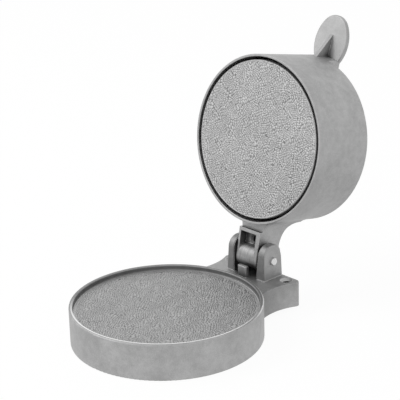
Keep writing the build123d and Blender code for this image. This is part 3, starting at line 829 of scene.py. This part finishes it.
@dataclass(frozen=True)
class SteelFinish:
    """Steel of the pin, the spring, the threads and the fasteners."""

    name: str
    dark: Colour
    light: Colour
    roughness: float
    grain: Grain = Grain.PLATED
    uneven_rough: float = 0.2
    patchy: Span = (0.3, 0.7)
    fine_mm: float = 0.25
    fine_depth_mm: float = 0.006

    def material(self) -> bpy.types.Material:
        """Builds the material.

        Returns:
            The material.
        """
        bench = Bench.for_material(self.name)
        where = bench.place()
        mottle = bench.noise(where, self.grain.value, detail=4.0)
        fine = bench.noise(where, self.fine_mm, detail=2.0)
        rough = (mottle - NOISE_MIDDLE) * self.uneven_rough + self.roughness
        colour = bench.blend(mottle.rise(*self.patchy), self.dark, self.light)
        return bench.finish(colour, rough, bench.bump(fine, self.fine_depth_mm))


def dress(piece: bpy.types.Object, *materials: bpy.types.Material) -> None:
    """Gives a piece its materials.

    Args:
        piece: the mesh object.
        materials: one material for each of its slots, in order.
    """
    slots = [polygon.material_index for polygon in piece.data.polygons]
    piece.data.materials.clear()
    for material in materials:
        piece.data.materials.append(material)
    if len(materials) > 1:
        piece.data.polygons.foreach_set("material_index", slots)
    log.info("dressed %s in %s", piece.name, ", ".join(each.name for each in materials))


def put_in_scene(name: str, mesh: bpy.types.Mesh) -> bpy.types.Object:
    """Makes an object of a mesh, at the origin."""
    piece = bpy.data.objects.new(name, mesh)
    bpy.context.scene.collection.objects.link(piece)
    return piece


def new_piece(name: str, shape: bmesh.types.BMesh, body: str, place: Matrix) -> bpy.types.Object:
    """Makes a piece from a finished bmesh.

    Args:
        name: the piece's name.
        shape: its mesh, which is freed.
        body: the body that it rides on.
        place: where it goes, written into its mesh.

    Returns:
        The new object, at the origin.
    """
    bmesh.ops.transform(shape, matrix=place, verts=shape.verts)
    bmesh.ops.recalc_face_normals(shape, faces=shape.faces)
    mesh = bpy.data.meshes.new(name)
    shape.to_mesh(mesh)
    shape.free()
    piece = put_in_scene(name, mesh)
    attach(piece, body)
    log.info("built %s: %d faces, on %s", name, len(mesh.polygons), body)
    return piece


def pour(source: bmesh.types.BMesh, target: bmesh.types.BMesh) -> None:
    """Adds all of one bmesh to another, and frees it.

    Args:
        source: the bmesh that is added and freed.
        target: the bmesh that takes it.
    """
    carrier = bpy.data.meshes.new("carrier")
    source.to_mesh(carrier)
    source.free()
    target.from_mesh(carrier)
    bpy.data.meshes.remove(carrier)


@dataclass(frozen=True)
class PebbledFace:
    """A flat round face of a casting, remade with its pebbles cut into it."""

    node: str
    frame_of: Matrix
    face_mm: float
    radius_mm: float
    pebbles: Pebbles
    facing: float = 1.0
    sides: int = 6
    first_cuts: int = 4
    halvings: int = 5
    level_slack_mm: float = 0.004
    rim_slack_mm: float = 0.02

    def build(self, name: str, body: str) -> bpy.types.Object:
        """Copies the casting and gives the copy the pebbled face.

        Args:
            name: the new piece's name.
            body: the body that it rides on.

        Returns:
            The piece, its faces marked with material index 0 for the casting and 1 for the face.
        """
        mesh = frame["nodes"][self.node].data.copy()
        mesh.name = name
        shape = bmesh.new()
        shape.from_mesh(mesh)
        self._take_flat_face(shape)
        shape.verts.layers.float.new(VALLEY)
        pour(self._disc(), shape)
        shape.to_mesh(mesh)
        shape.free()
        piece = put_in_scene(name, mesh)
        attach(piece, body)
        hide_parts(self.node)
        log.info("built %s: %d faces, on %s", name, len(mesh.polygons), body)
        return piece

    def _take_flat_face(self, shape: bmesh.types.BMesh) -> None:
        """Takes the flat face's triangles out of the copy.

        Args:
            shape: the copy of the casting.
        """
        into = self.frame_of.inverted()
        radius = self.radius_mm + self.rim_slack_mm
        flat = []
        for face in shape.faces:
            face.material_index = 0
            spots = [into @ vert.co / MM for vert in face.verts]
            level = all(abs(spot.z - self.face_mm) < self.level_slack_mm for spot in spots)
            if level and all(spot.xy.length < radius for spot in spots):
                flat.append(face)
        bmesh.ops.delete(shape, geom=flat, context="FACES")

    def _disc(self) -> bmesh.types.BMesh:
        """Makes the pebbled disc: a hexagon, cut up finely and drawn out to a circle.

        Returns:
            The disc, in the casting's place.
        """
        shape = bmesh.new()
        bmesh.ops.create_circle(
            shape, cap_ends=True, cap_tris=True, segments=self.sides, radius=1.0
        )
        for cuts in [self.first_cuts, *[1] * self.halvings]:
            bmesh.ops.subdivide_edges(shape, edges=shape.edges, cuts=cuts, use_grid_fill=True)
        layer = shape.verts.layers.float.new(VALLEY)
        walls = self._walls()
        noise.seed_set(NOISE_SEED)
        for vert in shape.verts:
            flat = vert.co.xy
            if flat.length > 0.0:
                share = max(flat.dot(wall) for wall in walls) / math.cos(math.pi / self.sides)
                flat = flat.normalized() * share * self.radius_mm
            down = self.pebbles.valley(flat.x, flat.y)
            vert[layer] = down
            level = self.face_mm - self.facing * down * self.pebbles.depth_mm
            vert.co = Vector((flat.x, flat.y, level)) * MM
        bmesh.ops.recalc_face_normals(shape, faces=shape.faces)
        first = next(iter(shape.faces))
        if first.normal.z * self.facing < 0.0:
            bmesh.ops.reverse_faces(shape, faces=shape.faces)
        for face in shape.faces:
            face.smooth = True
            face.material_index = 1
        bmesh.ops.transform(shape, matrix=self.frame_of, verts=shape.verts)
        return shape

    def _walls(self) -> list[Vector]:
        """Which way each side of the first hexagon faces.

        Returns:
            A direction for each side.
        """
        shape = bmesh.new()
        bmesh.ops.create_circle(shape, segments=self.sides, radius=1.0)
        half = math.pi / self.sides
        turns = [math.atan2(vert.co.y, vert.co.x) + half for vert in shape.verts]
        shape.free()
        return [Vector((math.cos(turn), math.sin(turn))) for turn in turns]


@dataclass(frozen=True)
class BaseCasting:
    """The tray with its lug platform, hinge ears, web and locating tab."""

    floor_mm: float = 22.65
    floor_radius_mm: float = 63.4
    pebbles: Pebbles = Pebbles(
        radius_mm=62.4, spacing_mm=1.85, depth_mm=0.5, turn_deg=41.0, push_mm=0.7, seed=37.0
    )
    finish: CastFinish = BaseFinish(
        name="cast_aluminium_tray", groove=0.66, crown=1.23, edge_wear_and_highlight=0.8, edge_mm=0.6
    )

    def build(self) -> None:
        """Dresses the casting, with the pebbles on the tray's floor."""
        face = PebbledFace(
            "base_casting", TRAY_MATRIX, self.floor_mm, self.floor_radius_mm, self.pebbles
        )
        piece = face.build("tray_casting", "base")
        dress(piece, self.finish.material(), self.finish.pebbled())


@dataclass(frozen=True)
class LidCasting:
    """The cup with its hinge arm, thumb tab and stud boss."""

    finish: CastFinish = ArmFinish(name="cast_aluminium_lid")

    def build(self) -> None:
        """Dresses the casting."""
        dress(frame["nodes"]["lid_casting"], self.finish.material())


@dataclass(frozen=True)
class PressPlate:
    """The pebbled plate that presses the patty."""

    face_mm: float = 0.3
    face_radius_mm: float = 55.15
    pebbles: Pebbles = Pebbles(radius_mm=55.15, seed=82.0)
    finish: CastFinish = CastFinish(name="cast_aluminium_plate", edge_wear_and_highlight=0.3, groove=0.72, crown=1.35)

    def build(self) -> None:
        """Dresses the plate, with the pebbles on the side that faces the tray."""
        face = PebbledFace(
            "press_plate",
            LID_MATRIX,
            self.face_mm,
            self.face_radius_mm,
            self.pebbles,
            facing=-1.0,
        )
        piece = face.build("pebbled_plate", "plate")
        dress(piece, self.finish.material(), self.finish.pebbled())


@dataclass(frozen=True)
class Thread:
    """A screw thread about the z axis. Inside a hole, its root lies outside its crest."""

    crest_radius_mm: float
    root_radius_mm: float
    pitch_mm: float
    root_half_share: float = 0.42
    crest_half_share: float = 0.07
    sunk_mm: float = 0.12
    steps: int = 32

    def ridge(self, start_mm: float, end_mm: float) -> bmesh.types.BMesh:
        """Winds the ridge as a closed tube.

        Args:
            start_mm: where it starts.
            end_mm: where it ends.

        Returns:
            The ridge, in metres.
        """
        shape = bmesh.new()
        root_half = self.pitch_mm * self.root_half_share
        crest_half = self.pitch_mm * self.crest_half_share
        height = self.crest_radius_mm - self.root_radius_mm
        root = self.root_radius_mm - math.copysign(self.sunk_mm, height)
        outline = (
            (root, -root_half),
            (root, root_half),
            (self.crest_radius_mm, crest_half),
            (self.crest_radius_mm, -crest_half),
        )
        corners = [
            shape.verts.new(Vector((across, 0.0, start_mm + along)) * MM)
            for across, along in outline
        ]
        section = shape.faces.new(corners)
        turns = (end_mm - start_mm) / self.pitch_mm
        steps = round(turns * self.steps)
        bmesh.ops.spin(
            shape,
            geom=[section, *section.edges, *section.verts],
            cent=(0.0, 0.0, 0.0),
            axis=(0.0, 0.0, 1.0),
            dvec=(0.0, 0.0, (end_mm - start_mm) * MM / steps),
            angle=math.tau * turns,
            steps=steps,
        )
        bmesh.ops.recalc_face_normals(shape, faces=shape.faces)
        log.info("wound %.1f turns of thread", turns)
        return shape


@dataclass(frozen=True)
class AdjustingStud:
    """The threaded stud that carries the plate, measured from the lid's rim."""

    start_mm: float = 4.45
    end_mm: float = 73.7
    chamfer_mm: float = 1.0
    plain_end_mm: float = 1.4
    facets: int = 64
    thread: Thread = Thread(crest_radius_mm=3.97, root_radius_mm=3.3, pitch_mm=1.25)
    finish: SteelFinish = SteelFinish(
        "zinc_plated_stud", (0.50, 0.51, 0.53), (0.64, 0.65, 0.66), 0.34
    )

    def build(self) -> None:
        """Turns the core, with its ends chamfered, and winds the thread on it."""
        shape = bmesh.new()
        bmesh.ops.create_cone(
            shape,
            cap_ends=True,
            segments=self.facets,
            radius1=self.thread.root_radius_mm * MM,
            radius2=self.thread.root_radius_mm * MM,
            depth=(self.end_mm - self.start_mm) * MM,
            matrix=Matrix.Translation((0.0, 0.0, (self.start_mm + self.end_mm) / 2 * MM)),
        )
        caps = [face for face in shape.faces if len(face.verts) == self.facets]
        bmesh.ops.bevel(
            shape,
            geom=[edge for cap in caps for edge in cap.edges],
            offset=self.chamfer_mm * MM,
            segments=1,
            profile=0.5,
            affect="EDGES",
            material=-1,
        )
        span = (self.start_mm + self.plain_end_mm, self.end_mm - self.plain_end_mm)
        pour(self.thread.ridge(*span), shape)
        piece = new_piece("threaded_stud", shape, "plate", LID_MATRIX)
        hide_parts("adjusting_stud")
        dress(piece, self.finish.material())


@dataclass(frozen=True)
class PlateSpring:
    """The spring between plate and lid, which shortens as the plate is drawn in."""

    plate_end_mm: float = 5.3
    lid_end_mm: float = 45.8
    travel_mm: float = JOINTS["plate_slide"]["range_m"][1] / MM
    finish: SteelFinish = SteelFinish("spring_steel", (0.30, 0.30, 0.31), (0.42, 0.42, 0.43), 0.35)

    def build(self) -> None:
        """Copies the spring onto the lid, and works out the share of its length that it keeps when
        the plate is drawn in.
        """
        mesh = frame["nodes"]["plate_spring"].data.copy()
        mesh.name = "compression_spring"
        piece = put_in_scene("compression_spring", mesh)
        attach(piece, "lid")
        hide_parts("plate_spring")
        dress(piece, self.finish.material())
        length = self.lid_end_mm - self.plate_end_mm
        keep = (length - self.travel_mm) / length
        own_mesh(piece)
        log.info("built compression_spring, which keeps %.2f of its length", keep)


@dataclass(frozen=True)
class StopHole:
    """The thread that shows in the arm's stop hole, measured from the pocket's floor."""

    start_mm: float = 1.0
    end_mm: float = 3.1
    thread: Thread = Thread(crest_radius_mm=2.5, root_radius_mm=2.98, pitch_mm=1.0)
    # Near black steel: painted shade down in the stop hole.
    finish: SteelFinish = SteelFinish("thread_in_painted_shade", grey(0.08), grey(0.16), 0.4)

    def build(self) -> None:
        """Winds the thread inside the hole."""
        shape = self.thread.ridge(self.start_mm, self.end_mm)
        place = Matrix.Translation(STOP_HOLE) @ LID_TURN
        piece = new_piece("stop_hole_thread", shape, "lid", place)
        dress(piece, self.finish.material())


@dataclass(frozen=True)
class Fasteners:
    """The pin, the nuts, the washers and the stop screw."""

    bright: SteelFinish = SteelFinish("bright_steel", grey(0.62), grey(0.75), 0.28, Grain.TURNED)
    zinc: SteelFinish = SteelFinish(
        "zinc_plated_steel", (0.52, 0.53, 0.55), (0.66, 0.67, 0.68), 0.32
    )
    black: SteelFinish = SteelFinish(
        "black_oxide_steel", (0.03, 0.03, 0.032), (0.06, 0.06, 0.062), 0.45
    )
    zinc_nodes: tuple[str, ...] = (
        "stud_lock_nut",
        "spring_seat_washer",
        "wing_nut_washer",
        "wing_nut",
    )

    def build(self) -> None:
        """Dresses every fastener."""
        nodes = frame["nodes"]
        dress(nodes["hinge_pin"], self.bright.material())
        dress(nodes["stop_screw"], self.black.material())
        zinc = self.zinc.material()
        for name in self.zinc_nodes:
            dress(nodes[name], zinc)


@dataclass(frozen=True)
class Lamp:
    """One soft rectangular lamp, in metres and watts."""

    name: str
    place: tuple[float, float, float]
    aim: tuple[float, float, float]
    size: tuple[float, float]
    watts: float

    def build(self) -> None:
        """Hangs the lamp."""
        data = bpy.data.lights.new(self.name, "AREA")
        data.shape = "RECTANGLE"
        data.size, data.size_y = self.size
        data.energy = self.watts
        lamp = bpy.data.objects.new(self.name, data)
        lamp.location = self.place
        way = Vector(self.aim) - Vector(self.place)
        lamp.rotation_euler = way.to_track_quat("-Z", "Y").to_euler()
        bpy.context.scene.collection.objects.link(lamp)
        log.info("hung %s", self.name)


@dataclass(frozen=True)
class Studio:
    """Plain pale floor, white surroundings and a soft lamp."""

    floor_size: float = 6.0
    floor_colour: Colour = grey(0.86)
    floor_share: float = 0.88
    floor_glow: float = 1.06
    fill: float = 0.5
    key: Lamp = Lamp(
        "key_lamp", place=(-0.9, -1.1, 1.3), aim=(0.0, 0.0, 0.08), size=(1.0, 1.0), watts=8.0
    )

    def build(self) -> None:
        """Sets the floor, the world and the lamp."""
        self._floor()
        self._world()
        self.key.build()

    @staticmethod
    def _shows(bench: Bench) -> Field:
        """Tells what the camera sees from what only lights the object.

        Args:
            bench: the material or world being built.

        Returns:
            1 for what it sees straight, mirrored or through glass, and 0 elsewhere.
        """
        path = bench.node("ShaderNodeLightPath").outputs
        straight, mirrored, through = (
            Field(bench, path[ray])
            for ray in ("Is Camera Ray", "Is Glossy Ray", "Is Transmission Ray")
        )
        return 1.0 - (1.0 - straight) * (1.0 - mirrored) * (1.0 - through)

    def _floor(self) -> None:
        """Lays the floor, which shows white and keeps the shadow."""
        shape = bmesh.new()
        bmesh.ops.create_grid(shape, x_segments=1, y_segments=1, size=self.floor_size / 2)
        mesh = bpy.data.meshes.new("studio_floor")
        shape.to_mesh(mesh)
        shape.free()
        floor = put_in_scene("studio_floor", mesh)
        bench = Bench.for_material("studio_floor")
        matt = bench.node("ShaderNodeBsdfDiffuse", None, {"Color": (*self.floor_colour, 1.0)})
        glow = bench.node(
            "ShaderNodeEmission", None, {"Color": WHITE, "Strength": self.floor_glow}
        )
        share = self._shows(bench) * self.floor_share
        mixed = bench.node(
            "ShaderNodeMixShader", None, {0: share, 1: matt.outputs[0], 2: glow.outputs[0]}
        )
        bench.node("ShaderNodeOutputMaterial", None, {"Surface": mixed.outputs[0]})
        mesh.materials.append(bench.owner)
        log.info("laid the floor")

    def _world(self) -> None:
        """Makes the world white to the camera and in reflections, a plain fill elsewhere."""
        world = bpy.data.worlds.new("studio_world")
        bpy.context.scene.world = world
        bench = Bench(world)
        strength = self._shows(bench) * (1.0 - self.fill) + self.fill
        back = bench.node("ShaderNodeBackground", None, {"Color": WHITE, "Strength": strength})
        bench.node("ShaderNodeOutputWorld", None, {"Surface": back.outputs[0]})
        log.info("set the surroundings")


@dataclass(frozen=True)
class PhotoCamera:
    """The camera at the photograph's viewing angle."""

    target_mm: tuple[float, float, float] = (-20.5, 0.0141, 81.244)
    azimuth_deg: float = 47.521
    elevation_deg: float = 20.521
    roll_deg: float = -1.645
    distance_mm: float = 1064.3
    focal_px: float = 1511.3
    frame_px: int = 400
    sensor_mm: float = 36.0
    clip_near: float = 0.01
    clip_far: float = 50.0

    def build(self) -> None:
        """Sets up the camera and makes it the scene's own."""
        around, above = math.radians(self.azimuth_deg), math.radians(self.elevation_deg)
        level = Vector((math.sin(around), -math.cos(around), 0.0)) * math.cos(above)
        back = level + Vector((0.0, 0.0, math.sin(above)))
        data = bpy.data.cameras.new("photo_camera")
        data.sensor_width = self.sensor_mm
        data.lens = self.focal_px / self.frame_px * self.sensor_mm
        data.clip_start, data.clip_end = self.clip_near, self.clip_far
        camera = bpy.data.objects.new("photo_camera", data)
        camera.location = Vector(self.target_mm) * MM + back * self.distance_mm * MM
        straight = (-back).to_track_quat("-Z", "Y").to_matrix().to_4x4()
        roll = Matrix.Rotation(math.radians(self.roll_deg), 4, "Z")
        camera.rotation_euler = (straight @ roll).to_euler()
        bpy.context.scene.collection.objects.link(camera)
        bpy.context.scene.camera = camera
        log.info("set up %s", camera.name)


def main() -> None:
    """Builds and dresses the press, and sets up the studio."""
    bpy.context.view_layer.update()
    bpy.context.scene.view_settings.view_transform = "Standard"
    for part in (
        BaseCasting(),
        LidCasting(),
        PressPlate(),
        AdjustingStud(),
        PlateSpring(),
        StopHole(),
        Fasteners(),
        Studio(),
        PhotoCamera(),
    ):
        log.info("building %s", type(part).__name__)
        part.build()


if __name__ == "__main__":
    logging.basicConfig(level=logging.INFO, format="%(message)s")
    main()
